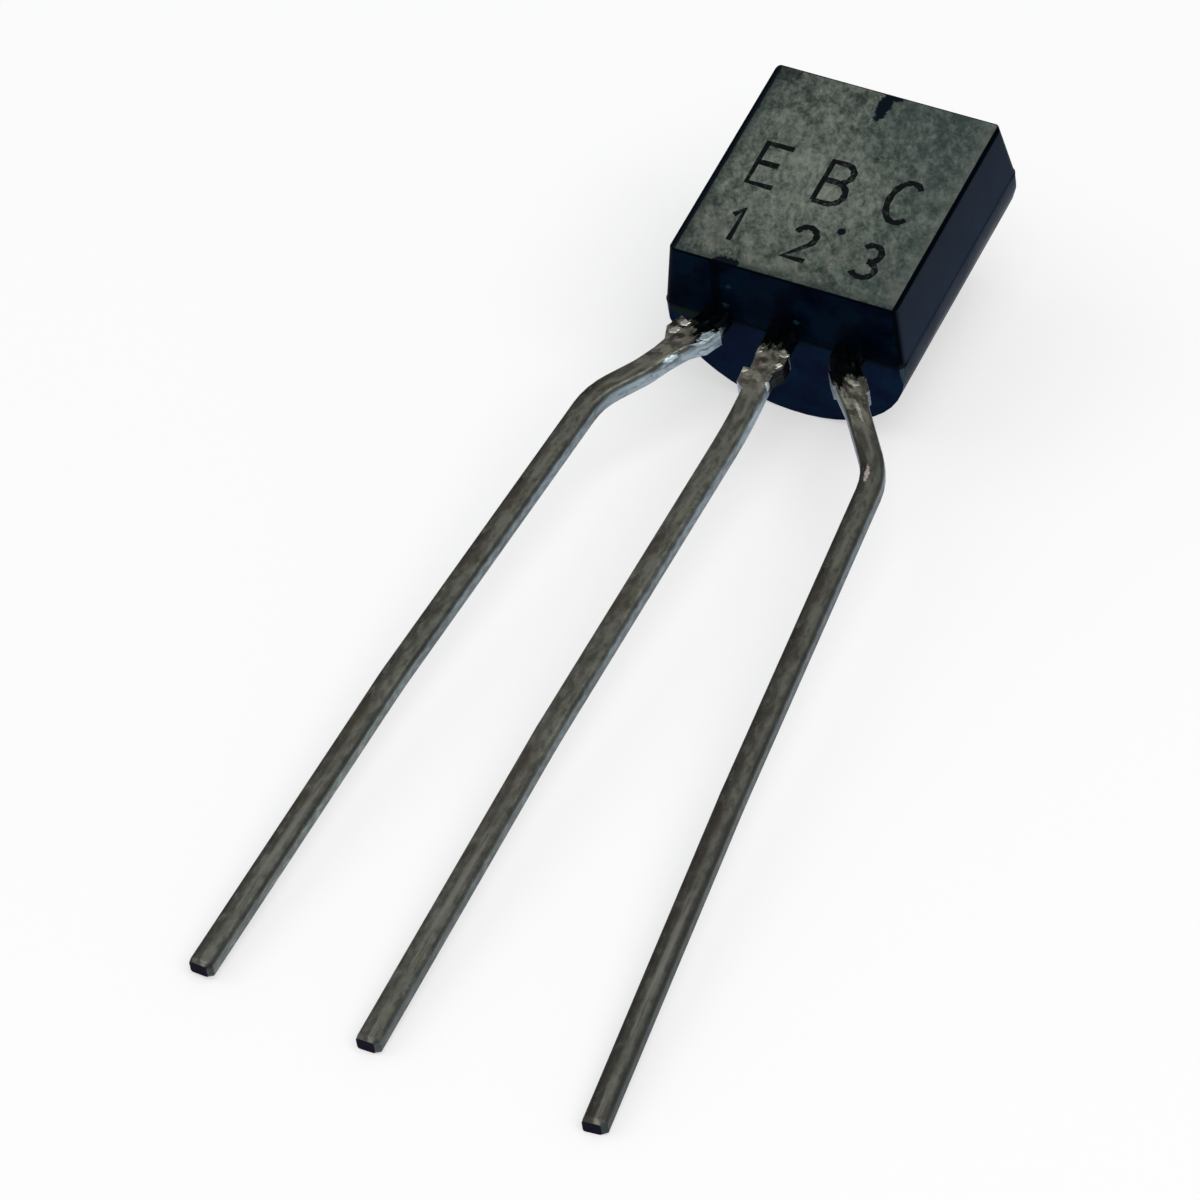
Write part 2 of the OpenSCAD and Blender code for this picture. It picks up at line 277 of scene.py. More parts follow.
# The flat side's skin, and the compound that shows where the skin is rubbed away, also used as painted shade
# along the left edge.
SKIN_DARK = (0.028, 0.038, 0.034)
SKIN_PALE = (0.188, 0.213, 0.18)
# Painted shade, duller and cooler, towards the crown's right corner and along the right.
SKIN_COOL = (0.046, 0.07, 0.068)
SKIN_WARM = (0.105, 0.098, 0.086)
# A painted highlight along the flat side's right edge.
SKIN_SHINE = (0.11, 0.12, 0.105)
BARE = (0.004, 0.007, 0.011)
# The strokes on the skin run this much across for this much down towards the lead end.
STROKE_ACROSS = 0.42
STROKE_DOWN = 0.91

# The lead end, in pairs of a dark and a pale cloud where it is cloudy. Its navy cast is painted reflection,
# and the front half's darker pair is painted shade.
END_BACK = (0.0002, 0.004, 0.026), (0.0006, 0.014, 0.042)
END_FRONT = (0.0003, 0.0015, 0.006), (0.001, 0.007, 0.018)
# A painted dark reflection of the leads above their roots.
END_LEAD_REFLECTION = (0.0004, 0.001, 0.002)
# A painted dark reflection, as a stripe down the lead end.
END_STRIPE = (0.0003, 0.001, 0.002)
END_RESIN = (0.0055, 0.0135, 0.0135)
# The colour of the painted glints.
END_GLINT = (0.012, 0.034, 0.045)
# Painted glints on the lead end: place across as a share of the half width, and place out.
END_GLINTS = (-0.49, -0.51), (-0.52, -0.95), (0.13, -0.88)

# The other sides. Their navy cast and the tone of each side are painted reflection; BACK_AT_SEAM is a
# painted sheen by the seam, and FRONT_EDGES a painted dark reflection on the front half's rounded edges.
SIDE_AT_FLAT = (0.0095, 0.0155, 0.028)
SIDE_AT_SEAM = (0.0115, 0.0205, 0.04)
CROWN = (0.006, 0.01, 0.018), (0.013, 0.021, 0.036)
BACK_AT_SEAM = (0.036, 0.064, 0.072)
BACK_BELOW = (0.014, 0.022, 0.031)
BACK_CLOUD = (0.012, 0.019, 0.027)
FRONT_EDGES = (0.0006, 0.0014, 0.003)
SEAM = (0.0006, 0.0012, 0.002)


def flat_skin(n, at):
    """An olive grey skin with short slanting strokes. Painted light makes it paler in the middle of the left
    half, painted shade makes it duller towards the crown's right corner and along the right, and a painted
    highlight runs along the right edge. Returns its colour, its tone and its strokes.
    """
    over = n.plus(n.times(at.across, STROKE_DOWN), n.times(at.along, STROKE_ACROSS))
    down = n.minus(n.times(at.across, STROKE_ACROSS), n.times(at.along, STROKE_DOWN))
    slanted = n.join(over, down, at.out)
    blotch = n.noise(at.point, 1.7, detail=3, roughness=0.55)
    stroke = n.noise(slanted, 5.6, detail=5, roughness=0.7, stretch=(1, 0.66, 1), distortion=0.25)
    grain = n.noise(slanted, 15, detail=3, roughness=0.6, stretch=(1, 0.75, 1))
    tone = n.plus(n.times(blotch, 0.24), n.times(stroke, 0.54), n.times(grain, 0.22))

    # Painted light in the middle of the left half, and painted shade towards the crown's right corner and
    # along the right.
    pale = n.ramp(n.reach((at.across, -0.42, 2.1), (at.along, -0.15, 2.6)), 1.0, 0.1)
    shade = n.times(n.ramp(at.across, -0.35, 0.35), n.ramp(at.along, 0.1, 1.3))
    right_part = n.ramp(at.across, 0.5, 1.8)
    warm = n.times(n.ramp(blotch, 0.5, 0.62), n.ramp(at.along, -0.6, -1.9))
    # A painted highlight along the right edge.
    right_rim = n.ramp(at.across, HALF_W - 0.2, HALF_W - 0.04)

    tinted = n.minus(n.plus(tone, n.times(pale, 0.07)), n.times(shade, 0.012))
    colour = n.mix(n.ramp(tinted, 0.385, 0.72), SKIN_DARK, SKIN_PALE)
    colour = n.stain(colour, SKIN_COOL, n.maximum(shade, right_part), 0.3)
    colour = n.stain(colour, SKIN_WARM, warm, 0.38)
    colour = n.stain(colour, SKIN_SHINE, right_rim, 0.35)
    return colour, tone, stroke


def skin_wear_and_edge_shade(n, at, stroke, ragged):
    """1 where the dark compound shows through the skin: in single spots and along its ragged edges, and as
    painted shade in a thin line along the left edge.
    """

    def spot(across_share, along_share, reach_across, reach_along, depth):
        """A spot where the skin is rubbed away. Its middle is given as shares of the flat side's half width
        and half height.
        """
        ways = (at.across, across_share * HALF_W, reach_across), (at.along, along_share * HALF_H, reach_along)
        return n.times(n.patch(ragged, 1.15, 0.85, *ways), depth)

    chip_at_crown = n.maximum(spot(0.02, 0.9, 0.12, 0.4, 1), spot(0.05, 1, 0.2, 0.1, 1))
    dull_corner = spot(-0.95, 0.95, 0.34, 0.22, 0.6)
    chip_at_lead_end = spot(-0.52, -1, 0.26, 0.13, 1)
    scuff = spot(0.21, 0.35, 0.05, 0.07, 0.6)
    nick = spot(-0.985, 0.55, 0.05, 0.06, 0.8)
    round_hole = n.reach((at.across, 0.26 * HALF_W, 0.08), (at.along, -0.41 * HALF_H, 0.08))
    pin_prick = n.ramp(round_hole, 1.1, 0.85)

    left_rim = n.ramp(at.across, 0.26 - HALF_W, 0.02 - HALF_W)
    # Painted shade: a thin dark line along the left edge.
    left_edge_shade = n.ramp(at.across, 0.08 - HALF_W, 0.03 - HALF_W)
    lead_end_rim = n.ramp(at.along, 0.2 - HALF_H, -HALF_H)
    rim = n.times(n.maximum(left_rim, lead_end_rim), n.ramp(stroke, 0.4, 0.6), 0.75)
    spots = chip_at_crown, dull_corner, chip_at_lead_end, pin_prick, scuff, nick
    return n.maximum(rim, left_edge_shade, *spots)


def end_face(n, at, cloud, front_half, ragged):
    """The end that the leads come out of: navy, with a painted dark reflection above each lead, a dark stripe
    that is a painted reflection, resin, and painted glints.
    """
    colour = n.mix(front_half, n.mix(cloud, *END_BACK), n.mix(cloud, *END_FRONT))
    for root in ROOT_PLACES:
        # A painted dark reflection of each lead above its root.
        lead_reflection = n.patch(ragged, 1.2, 0.5, (at.across, root + 0.15, 0.42), (at.out, PARTING + 0.25, 0.5))
        colour = n.stain(colour, END_LEAD_REFLECTION, lead_reflection, 0.7)

    # A painted dark reflection, as a stripe.
    ways = (at.across, -0.61 * HALF_W, 0.1), (at.out, 0.0, 1.2)
    stripe = n.patch(n.times(ragged, 0.7), 1.2, 0.8, *ways)
    colour = n.stain(colour, END_STRIPE, stripe, 0.8)

    ways = (at.across, ROOT_PLACES[0] - 0.4, 0.65), (at.out, PARTING - 0.13, 0.18)
    resin = n.patch(n.times(ragged, 0.5), 1.1, 0.7, *ways)
    colour = n.stain(colour, END_RESIN, resin, 0.9)

    speckle = n.wander(n.noise(at.point, 22, detail=2), 3.0)
    # Painted glints.
    for share, out in END_GLINTS:
        glint = n.patch(speckle, 1.3, 0.6, (at.across, share * HALF_W, 0.06), (at.out, out, 0.045))
        colour = n.stain(colour, END_GLINT, glint, 0.7)
    return colour


def epoxy():
    new, n = material("moulded_epoxy")
    at = package_place(n)
    on_flat = n.times(n.ramp(facing(n, OUT), 0.975, 0.997), n.ramp(at.out, -0.3, -0.15))
    on_end = n.ramp(facing(n, -ALONG), 0.75, 0.95)
    on_crown = n.ramp(facing(n, ALONG), 0.75, 0.95)
    on_side = n.ramp(n.absolute(facing(n, ACROSS)), 0.85, 0.97)

    ragged = n.wander(n.noise(at.point, 7, detail=3, roughness=0.65), 1.5)
    flat, tone, stroke = flat_skin(n, at)
    # Wear, and the painted shade along the left edge.
    wear_and_edge_shade = skin_wear_and_edge_shade(n, at, stroke, ragged)
    flat = n.mix(wear_and_edge_shade, flat, BARE)

    # The other sides: smooth, almost black compound. The navy cast, the lighter band by the seam on the back
    # and the darker front half are painted reflection, sheen and shade.
    haze = n.noise(at.point, 1.4, detail=5, roughness=0.6)
    cloud = n.ramp(haze, 0.35, 0.65)
    front_half = n.ramp(at.out, PARTING - 0.03, PARTING + 0.07)
    side = n.mix(n.ramp(at.out, 0, PARTING), SIDE_AT_FLAT, SIDE_AT_SEAM)
    back = n.mix(n.ramp(at.out, PARTING - 0.2, PARTING - 1.5), BACK_AT_SEAM, BACK_BELOW)
    back = n.stain(back, BACK_CLOUD, cloud, 0.3)
    back = n.mix(front_half, back, FRONT_EDGES)
    dark = n.mix(on_crown, n.mix(on_side, back, side), n.mix(cloud, *CROWN))
    dark = n.mix(on_end, dark, end_face(n, at, cloud, front_half, ragged))

    # The line where the two halves of the mould met shows more on both ends.
    seam = n.ramp(n.absolute(n.minus(at.out, PARTING)), 0.05, 0.02)
    at_ends = n.ramp(n.absolute(at.along), -LEAD_END - 0.35, -LEAD_END - 0.15, 0.2, 0.8)
    dark = n.stain(dark, SEAM, seam, at_ends)

    height = n.plus(n.times(tone, on_flat), n.times(haze, 0.3))
    height = n.minus(height, n.times(wear_and_edge_shade, on_flat, 0.6))
    return principled(
        new,
        n,
        {
            "Base Color": n.mix(on_flat, dark, flat),
            "Roughness": n.plus(n.times(on_flat, 0.35), n.ramp(haze, 0.3, 0.7, 0.28, 0.4)),
            "Normal": n.bump(height, 0.014 * MM),
            "IOR": 1.45,
            "Specular IOR Level": 0.008,
        },
    )


# ---- The leads' tin ----

# The rolled faces, from their left edge to their right: painted shade along the left edge and painted light
# in the middle.
SHADED_LEFT_EDGE = (0.034, 0.029, 0.026)
SHADED_LEFT = (0.105, 0.1, 0.083)
LIT_MIDDLE = (0.2, 0.204, 0.166)
DULL_RIGHT = (0.13, 0.133, 0.113)
# The first two of these, where a rolled face has little painted shade along its left edge.
GREY_EDGE = (0.165, 0.162, 0.144)
GREY_LEFT = (0.14, 0.135, 0.115)
DULL_DARK_FLECK = (0.062, 0.056, 0.045)
DULL_PALE_FLECK = (0.27, 0.273, 0.227)
DULL_STAIN = (0.078, 0.061, 0.048)
DULL_TARNISH = (0.035, 0.03, 0.029)
# A painted highlight along the rolled faces.
HIGHLIGHT_LINE = (0.27, 0.28, 0.24)
DULL_BRIGHT = (0.36, 0.345, 0.28)

# The sheared sides, from the body to the tip. Their bright blue near the body is painted reflection, fading
# towards the tip.
SIDE_REFLECTION_ROOT = (0.4, 0.49, 0.56)
SIDE_REFLECTION_KNEE = (0.2, 0.25, 0.285)
CLEAN_TIP = (0.135, 0.158, 0.15)
CLEAN_DARK_FLECK = (0.088, 0.104, 0.108)
CLEAN_PALE_FLECK = (0.28, 0.33, 0.345)
CLEAN_STAIN = (0.07, 0.082, 0.082)
CLEAN_TARNISH = (0.045, 0.054, 0.058)

# Painted shade on the rounded edges, which dims their highlight.
ROUNDED_EDGE_SHADE = (0.045, 0.048, 0.043)
# Painted dark reflection of the body's end on the lead roots, dark with paler flecks.
ROOT_REFLECTION = (0.004, 0.006, 0.007), (0.02, 0.032, 0.028)
CUT_END = (0.009, 0.009, 0.02)

# Painted glints, a painted bluish reflection, and copper where the tin is rubbed through.
WHITE_GLINT = (0.95, 0.93, 0.86)
WARM_GLINT = (0.5, 0.49, 0.42)
BLUE_REFLECTION = (0.72, 0.86, 0.92)
PINK_TIN = (0.6, 0.5, 0.46)

# Painted glints and reflections on a lead, and spots where the tin is rubbed through to copper: each has its
# middle down from the body, across from the lead's middle line and out from it, its reach along, across and
# through the lead, and its colour.
GlintAndWear = namedtuple("GlintAndWear", "down across tall wide tint out deep", defaults=(0.19, 1.0))

# A place on a lead: down from the body, and across and out from the lead's middle line.
LeadPlace = namedtuple("LeadPlace", "drop from_mid from_row point")

# 1 where a lead's face is rolled, rounded between rolled and sheared, or cut. All the rest is sheared.
Faces = namedtuple("Faces", "rolled rounded cut")

# The noises that the rolled faces and the sheared sides share.
Grime = namedtuple("Grime", "streak fleck stain")

# How many even steps a lead's middle line is followed in.
MIDDLE_STEPS = 28


def place_on_lead(n, at, node, tip):
    """Where a point is on a lead, from the lead's middle line between its tip and its root."""
    low, high = tip + 0.1, LEAD_END + 0.04
    stations = [low + (high - low) * step / MIDDLE_STEPS for step in range(MIDDLE_STEPS + 1)]
    middles = section_middles(node, stations)
    from_mid = n.minus(at.across, n.follow(at.along, [(row[0], row[1]) for row in middles]))
    from_row = n.minus(at.out, n.follow(at.along, [(row[0], row[2]) for row in middles]))
    drop = n.minus(LEAD_END, at.along)
    return LeadPlace(drop, from_mid, from_row, n.join(from_mid, drop, from_row))


def kinds_of_face(n, at, tip):
    facing_out = n.absolute(facing(n, OUT))
    facing_tip = facing(n, -ALONG)
    at_tip = n.ramp(at.along, tip + 0.3, tip + 0.2)
    lip = n.times(n.ramp(facing_tip, 0.5, 0.7), at_tip, n.ramp(facing_out, 0.1, 0.3))
    rolled = n.maximum(n.ramp(facing_out, 0.35, 0.85), lip)
    rounded = n.ramp(n.times(facing_out, n.absolute(facing(n, ACROSS))), 0.23, 0.43)
    cut = n.times(n.ramp(facing_tip, 0.94, 0.985), at_tip)
    return Faces(rolled, rounded, cut)


def rolled_face(n, on, grime, left_shading, tarnish):
    """Brown painted shade along the left edge and olive grey painted light right of the middle, in bands
    that wander.
    """
    wave = n.noise(n.join(0.0, on.drop, 0.0), 0.9, detail=3, roughness=0.6)
    band = n.plus(on.from_mid, n.wander(grime.streak, 0.34), n.wander(wave, 0.5))
    # Painted shade along the left edge, and painted light in the middle.
    left_edge_shade = n.mix(left_shading, GREY_EDGE, SHADED_LEFT_EDGE)
    left = n.mix(left_shading, GREY_LEFT, SHADED_LEFT)
    colour = n.mix(n.ramp(band, -0.23, -0.1), left_edge_shade, left)
    colour = n.mix(n.ramp(band, -0.1, 0.08), colour, LIT_MIDDLE)
    colour = n.mix(n.ramp(band, 0.1, 0.2), colour, DULL_RIGHT)
    colour = n.stain(colour, DULL_DARK_FLECK, n.ramp(grime.fleck, 0.46, 0.68), 0.7)
    colour = n.stain(colour, DULL_PALE_FLECK, n.ramp(grime.fleck, 0.49, 0.3), 0.6)
    colour = n.stain(colour, DULL_STAIN, n.ramp(grime.stain, 0.47, 0.7), 0.7)

    dull_left = n.ramp(on.from_mid, 0.1, -0.2, 0.1, 0.1 + 0.5 * left_shading)
    dull_right = n.ramp(on.from_mid, 0.08, 0.16, 0.1, 0.5)
    colour = n.stain(colour, DULL_TARNISH, tarnish, n.maximum(dull_left, dull_right))

    # A painted highlight: a pale line right of the middle, on the half towards the tip.
    near_line = n.ramp(n.absolute(n.minus(on.from_mid, 0.05)), 0.085, 0.02)
    broken = n.ramp(grime.streak, 0.4, 0.55, 0.2, 0.75)
    return n.stain(colour, HIGHLIGHT_LINE, near_line, n.ramp(on.drop, 9, 13), broken)


def sheared_side(n, on, grime, tarnish):
    """Bright and bluish at the body, greyer towards the tip, as painted reflection, and stained."""
    colour = n.mix(n.ramp(on.drop, 1.3, 2.9), SIDE_REFLECTION_ROOT, SIDE_REFLECTION_KNEE)
    colour = n.mix(n.ramp(on.drop, 3, 13), colour, CLEAN_TIP)
    colour = n.stain(colour, CLEAN_DARK_FLECK, n.ramp(grime.fleck, 0.46, 0.62), 0.5)
    colour = n.stain(colour, CLEAN_PALE_FLECK, n.ramp(grime.fleck, 0.47, 0.36), 0.4)
    colour = n.stain(colour, CLEAN_STAIN, n.ramp(grime.stain, 0.48, 0.62), 0.6)
    return n.mix(tarnish, colour, CLEAN_TARNISH)


def glints_and_wear(n, on, colour, glint_and_wear_spots):
    """Painted glints and reflections at the bends, and copper where the tin is rubbed through. Returns the
    colour and the spots.
    """
    frayed = n.wander(n.noise(on.point, 14, detail=2), 1.6)
    glint_and_wear_mask = 0.0
    for mark in glint_and_wear_spots:
        ways = (on.drop, mark.down, mark.tall), (on.from_mid, mark.across, mark.wide)
        spot = n.patch(frayed, 1.3, 0.6, *ways, (on.from_row, mark.out, mark.deep))
        colour = n.mix(spot, colour, mark.tint)
        glint_and_wear_mask = n.maximum(glint_and_wear_mask, spot)
    return colour, glint_and_wear_mask


def tinned_strip(node_name, root_dark_reach, side_root_dark_reach, root_dark_slant, left_shading, gleam, tarnishes, glint_and_wear_spots):
    """Tin-plated strip: dull, stained rolled faces with painted shade and light, sheared sides with a painted
    bluish reflection, dark cut ends, and roots painted dark as a reflection of the body.

    The roots are painted dark as a reflection of the body's end. The dark reaches root_dark_reach down the
    rolled faces, and side_root_dark_reach down the sheared ones, and further to the right by root_dark_slant.
    left_shading is how much painted shade darkens the rolled faces along their left edge, gleam how bright
    they are near the root, and tarnishes how dull the edges and sides are near the body and at the tip, all
    from 0 to 1.
    """
    new, n = material(node_name + "_tin")
    node = nodes[node_name]
    tip = min(places(node, ALONG))
    at = package_place(n)
    on = place_on_lead(n, at, node, tip)
    near_root = n.ramp(on.drop, 2.0, 1.0)
    tarnish = n.ramp(on.drop, 3, LEAD_END - tip, *tarnishes)

    rolled, rounded, cut = kinds_of_face(n, at, tip)
    grime = Grime(
        streak=n.noise(on.point, 7, detail=4, roughness=0.6, stretch=(1, 0.1, 1)),
        fleck=n.noise(on.point, 9, detail=3, roughness=0.6, stretch=(1, 0.45, 1)),
        stain=n.noise(on.point, 2.4, detail=5, roughness=0.68, stretch=(1, 0.4, 1)),
    )
    mottle = n.noise(on.point, 5, detail=3, roughness=0.6)
    bright = n.times(near_root, n.ramp(mottle, 0.58, 0.4, gleam * 0.2, 0.6 + gleam * 0.5))
    dull = n.mix(bright, rolled_face(n, on, grime, left_shading, tarnish), DULL_BRIGHT)
    colour = n.mix(rolled, sheared_side(n, on, grime, tarnish), dull)
    # Painted shade on the rounded edges, which dims their highlight.
    colour = n.stain(colour, ROUNDED_EDGE_SHADE, rounded, 0.3 + 0.4 * left_shading)
    # Painted glints and reflections, and copper where the tin is rubbed through.
    colour, glint_and_wear_mask = glints_and_wear(n, on, colour, glint_and_wear_spots)

    # The root is painted black as a dark reflection of the body's end, and the cut end has no tin.
    slant = n.times(on.from_mid, rolled, root_dark_slant)
    edge = n.minus(n.minus(on.drop, n.ramp(rolled, 0, 1, side_root_dark_reach, root_dark_reach)), slant)
    edge = n.plus(edge, n.wander(grime.fleck, 0.7))
    root = n.times(n.ramp(edge, 0.07, -0.07), n.minus(1.0, glint_and_wear_mask))
    colour = n.mix(root, colour, n.mix(n.ramp(grime.fleck, 0.55, 0.7), *ROOT_REFLECTION))
    colour = n.mix(cut, colour, CUT_END)

    wear = n.plus(n.times(grime.streak, 0.4), n.times(grime.fleck, 0.6))
    dents = n.times(n.noise(on.point, 4.5, detail=2), n.times(near_root, 3))
    crust = n.times(tarnish, n.minus(1.0, rolled), 0.6)
    return principled(
        new,
        n,
        {
            "Base Color": colour,
            "Metallic": n.minus(1.0, n.maximum(cut, crust)),
            "Specular IOR Level": 0.02,
            "Roughness": n.plus(n.ramp(wear, 0.3, 0.7, 0.32, 0.5), n.times(n.plus(cut, rounded), 0.25)),
            "Normal": n.bump(n.plus(wear, dents, n.times(glint_and_wear_mask, 1.2)), 0.009 * MM),
        },
    )


# ---- What is sealed inside ----


def inner_metal(name, low, high, roughness):
    new, n = material(name)
    tone = n.noise(package_place(n).point, 30, detail=3)
    return principled(
        new,
        n,
        {
            "Base Color": n.mix(tone, low, high),
            "Metallic": 1.0,
            "Roughness": roughness,
            "Normal": n.bump(tone, 0.002 * MM),
        },
    )


def silicon():
    new, n = material("silicon")
    tone = n.noise(package_place(n).point, 40, detail=2)
    return principled(
        new,
        n,
        {
            "Base Color": n.mix(tone, (0.1, 0.11, 0.15), (0.16, 0.17, 0.24)),
            "Roughness": n.ramp(tone, 0.3, 0.7, 0.12, 0.2),
            "IOR": 2.0,
        },
    )


dress("body", epoxy())
dress(
    "emitter_lead",
    tinned_strip(
        "emitter_lead",
        root_dark_reach=0.5,
        side_root_dark_reach=0.3,
        root_dark_slant=1.1,
        left_shading=1,
        gleam=0,
        tarnishes=(0, 0),
        glint_and_wear_spots=[
            GlintAndWear(down=0.44, across=-0.21, tall=0.09, wide=0.07, tint=WHITE_GLINT),
            GlintAndWear(down=0.64, across=-0.24, tall=0.09, wide=0.07, tint=WARM_GLINT),
            GlintAndWear(down=1.24, across=0.22, tall=0.12, wide=0.05, tint=BLUE_REFLECTION, out=0.14, deep=0.06),
            GlintAndWear(down=0.6, across=0.34, tall=0.16, wide=0.1, tint=BLUE_REFLECTION, deep=0.08),
        ],
    ),
)
dress(
    "base_lead",
    tinned_strip(
        "base_lead",
        root_dark_reach=0.44,
        side_root_dark_reach=1.2,
        root_dark_slant=0,
        left_shading=0.1,
        gleam=0.35,
        tarnishes=(0, 0.45),
        glint_and_wear_spots=[
            GlintAndWear(down=0.76, across=0.25, tall=0.06, wide=0.06, tint=WHITE_GLINT),
            GlintAndWear(down=0.54, across=-0.24, tall=0.1, wide=0.06, tint=WARM_GLINT),
            GlintAndWear(down=0.48, across=0.22, tall=0.08, wide=0.1, tint=WARM_GLINT),
            GlintAndWear(down=1.04, across=-0.27, tall=0.08, wide=0.08, tint=WARM_GLINT),
            GlintAndWear(down=1.2, across=0.24, tall=0.08, wide=0.06, tint=BLUE_REFLECTION, out=0.1, deep=0.08),
        ],
    ),
)
dress(
    "collector_lead",
    tinned_strip(
        "collector_lead",
        root_dark_reach=0.64,
        side_root_dark_reach=0.54,
        root_dark_slant=-0.5,
        left_shading=1,
        gleam=0.45,
        tarnishes=(0.5, 1),
        glint_and_wear_spots=[
            GlintAndWear(down=0.66, across=0.08, tall=0.07, wide=0.13, tint=WARM_GLINT),
            GlintAndWear(down=1.2, across=0.04, tall=0.2, wide=0.04, tint=WARM_GLINT),
            GlintAndWear(down=2.44, across=-0.06, tall=0.15, wide=0.04, tint=PINK_TIN),
        ],
    ),
)
dress("die", silicon())
dress("die_attach", inner_metal("die_attach", (0.5, 0.48, 0.44), (0.7, 0.68, 0.62), roughness=0.5))
gold = inner_metal("gold", (0.85, 0.58, 0.2), (1.0, 0.74, 0.32), roughness=0.25)
for wire in ("emitter_wire", "base_wire"):
    dress(wire, gold)


# ---- Pin marks ----

# Half the width of a stroke, and how much that wavers from point to point, as a share.
MARK_HALF_W = 0.06
MARK_WAVER = 0.16
# A stroke is a round rod flattened to this share of its height, and half of it stands out of the flat side.
MARK_PROUD = 0.1


def mark_ink():
    new, n = material("mark_ink")
    thin = n.noise(package_place(n).point, 9, detail=3, roughness=0.6)
    return principled(
        new,
        n,
        {
            "Base Color": n.mix(n.ramp(thin, 0.5, 0.75), (0.004, 0.005, 0.006), (0.035, 0.04, 0.037)),
            "Roughness": n.ramp(thin, 0.3, 0.7, 0.6, 0.8),
            "Normal": n.bump(thin, 0.01 * MM),
            "Specular IOR Level": 0.03,
        },
    )


def arc(x, y, x_radius, y_radius, start, end, steps=14):
    """Points on part of an ellipse, with angles in degrees anticlockwise from the right."""
    angles = [math.radians(start + (end - start) * step / steps) for step in range(steps + 1)]
    return [(x + x_radius * math.cos(a), y + y_radius * math.sin(a)) for a in angles]


# The strokes of each mark, in a box one wide and one high.
MARKS = {
    "E": ([(1, 1), (0, 1), (0, 0), (1, 0)], [(0, 0.52), (0.8, 0.52)]),
    "B": (
        [(0, 0), (0, 1), *arc(0.5, 0.77, 0.42, 0.23, 90, -90), (0, 0.54)],
        [*arc(0.5, 0.27, 0.5, 0.27, 90, -90), (0, 0)],
    ),
    "C": (arc(0.55, 0.5, 0.55, 0.5, 48, 312, 22),),
    "1": ([(0.2, 0.76), (0.55, 1), (0.55, 0)],),
    "2": ([*arc(0.5, 0.7, 0.46, 0.3, 165, -42, 18), (0, 0), (1, 0)],),
    "3": (arc(0.45, 0.75, 0.42, 0.25, 150, -90), arc(0.45, 0.25, 0.5, 0.25, 90, -150)),
}


def pin_marks(name, marks, middle, height, width, ink):
    """One row of marks printed on the flat side, one above each lead, with its middle at a place along."""
    curve = bpy.data.curves.new(name, "CURVE")
    curve.dimensions = "3D"
    curve.bevel_depth = MARK_HALF_W * MM
    curve.bevel_resolution = 2
    curve.use_fill_caps = True
    for place, (mark, root) in enumerate(zip(marks, ROOT_PLACES)):
        left = root - width / 2
        for stroke in MARKS[mark]:
            spline = curve.splines.new("POLY")
            spline.points.add(len(stroke) - 1)
            for index, (point, (x, y)) in enumerate(zip(spline.points, stroke)):
                point.co = ((left + x * width) * MM, (middle + (y - 0.5) * height) * MM, 0, 1)
                point.radius = 1 + MARK_WAVER * math.sin(2.1 * index + 5 * place)
    row = bpy.data.objects.new(name, curve)
    flattened = Matrix((ACROSS, ALONG, OUT * MARK_PROUD)).transposed()
    row.matrix_world = Matrix.Translation(flat_centre) @ flattened.to_4x4()
    bpy.context.collection.objects.link(row)
    curve.materials.append(ink)
    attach(row, "root")


ink = mark_ink()
pin_marks("pin_letters", "EBC", middle=0.05, height=0.95, width=0.5, ink=ink)
pin_marks("pin_numbers", "123", middle=-1.4, height=0.75, width=0.42, ink=ink)


# ---- Floor ----

FLOOR_HALF = 1.5
# The floor's grey where it only throws light back, and the share of its white that is its own glow.
FLOOR_GREY = (0.75, 0.75, 0.75)
FLOOR_GLOW = 0.5
WHITE = (1, 1, 1)


def pale_floor():
    """White where it is seen, straight or in a reflection, and a little darker for the light it throws."""
    new, n = material("pale_floor")
    rays = n.add("ShaderNodeLightPath").outputs
    seen = n.plus(rays["Is Camera Ray"], rays["Is Glossy Ray"])
    seen = n.math("ADD", seen, rays["Is Transmission Ray"], clamp=True)
    matt = n.add("ShaderNodeBsdfDiffuse", {"Color": n.mix(seen, FLOOR_GREY, WHITE)})
    white = n.add("ShaderNodeEmission", {"Color": WHITE, "Strength": 1.0})
    lift = n.add("ShaderNodeMixShader", {0: n.times(seen, FLOOR_GLOW)})
    n.feed(lift.inputs[1], matt.outputs[0])
    n.feed(lift.inputs[2], white.outputs[0])
    n.surface(lift)
    return new


floor_mesh = bpy.data.meshes.new("floor")
corner_signs = (-1, -1), (1, -1), (1, 1), (-1, 1)
floor_corners = [(x * FLOOR_HALF, y * FLOOR_HALF, cad_low.z) for x, y in corner_signs]
floor_mesh.from_pydata(floor_corners, [], [(0, 1, 2, 3)])
floor_mesh.materials.append(pale_floor())
floor = bpy.data.objects.new("floor", floor_mesh)
bpy.context.collection.objects.link(floor)


# ---- Light ----

SKY_COLOUR = (0.95, 0.975, 1.0)
SKY_LEVEL = 0.42

world = bpy.data.worlds.new("studio")
world.use_nodes = True
sky = Nodes(world.node_tree)
background = sky.add("ShaderNodeBackground", {"Color": SKY_COLOUR, "Strength": SKY_LEVEL})
sky.feed(sky.add("ShaderNodeOutputWorld").inputs["Surface"], background.outputs[0])
bpy.context.scene.world = world


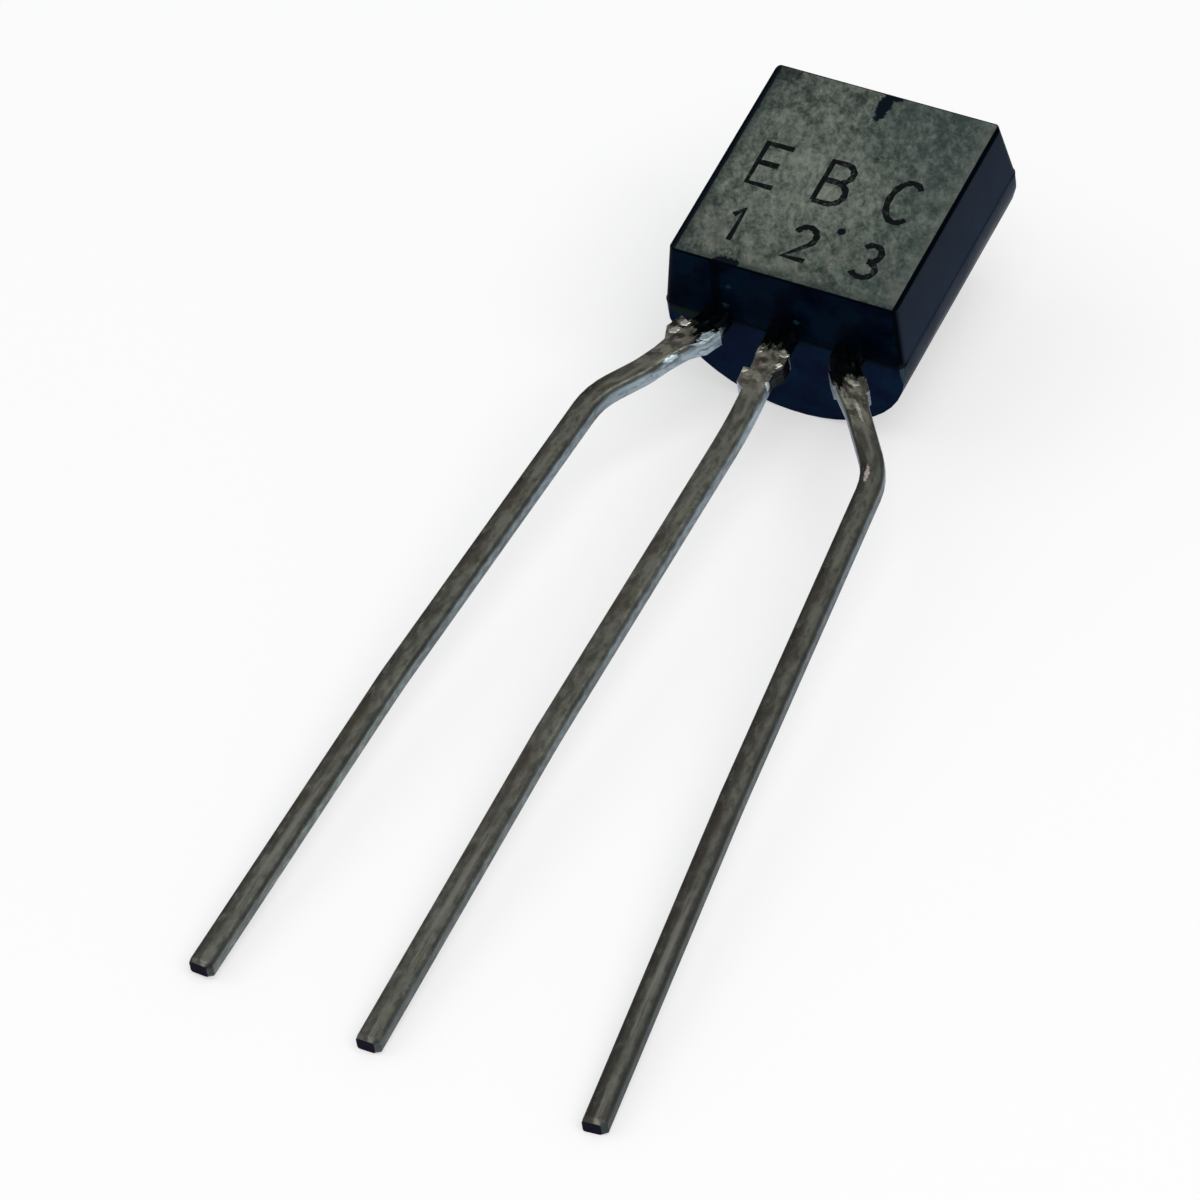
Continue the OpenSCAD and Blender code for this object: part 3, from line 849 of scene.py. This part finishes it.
def from_direction(azimuth, elevation):
    """A unit vector towards a place seen from the object: azimuth 0 is at -Y and 90 at +X."""
    a, e = math.radians(azimuth), math.radians(elevation)
    return Vector((math.sin(a) * math.cos(e), -math.cos(a) * math.cos(e), math.sin(e)))


def softbox(name, azimuth, elevation, distance, size, level, colour=WHITE):
    """An area lamp aimed at the object. Level is the brightness that it gives a white card facing it."""
    lamp = bpy.data.lights.new(name, "AREA")
    lamp.shape = "SQUARE"
    lamp.size = size
    lamp.energy = level * math.pi**2 * distance**2
    lamp.color = colour
    towards = from_direction(azimuth, elevation)
    light = bpy.data.objects.new(name, lamp)
    light.location = towards * distance
    light.rotation_euler = towards.to_track_quat("Z", "Y").to_euler()
    bpy.context.collection.objects.link(light)


softbox("key", azimuth=60, elevation=62, distance=0.4, size=0.35, level=0.66, colour=(1, 0.99, 0.97))
softbox("fill", azimuth=-70, elevation=50, distance=0.45, size=0.35, level=0.14)


# ---- Camera ----

# Where the camera is, seen from where it looks. It is fitted to the photograph, with its angles in degrees.
VIEW_AZIMUTH = 28.97
VIEW_ELEVATION = 44.44
VIEW_ROLL = -4.3
VIEW_DISTANCE = 0.14085
# The lens and the sensor's width, in millimetres.
LENS = 248.7
SENSOR_WIDTH = 36
NEAREST_SEEN = 0.01
# Where the camera looks, as shares of the model's box from its middle.
AIM = Vector((-0.1005, -0.0423, -0.1135))

cad_size = cad_high - cad_low
aim = (cad_low + cad_high) / 2 + Vector(share * length for share, length in zip(AIM, cad_size))
back = from_direction(VIEW_AZIMUTH, VIEW_ELEVATION)
lens = bpy.data.cameras.new("camera")
lens.sensor_width = SENSOR_WIDTH
lens.lens = LENS
lens.clip_start = NEAREST_SEEN
camera = bpy.data.objects.new("camera", lens)
turn = back.to_track_quat("Z", "Y").to_matrix() @ Matrix.Rotation(math.radians(VIEW_ROLL), 3, "Z")
camera.matrix_world = Matrix.Translation(aim + back * VIEW_DISTANCE) @ turn.to_4x4()
bpy.context.collection.objects.link(camera)
bpy.context.scene.camera = camera
bpy.context.scene.view_settings.view_transform = "Standard"
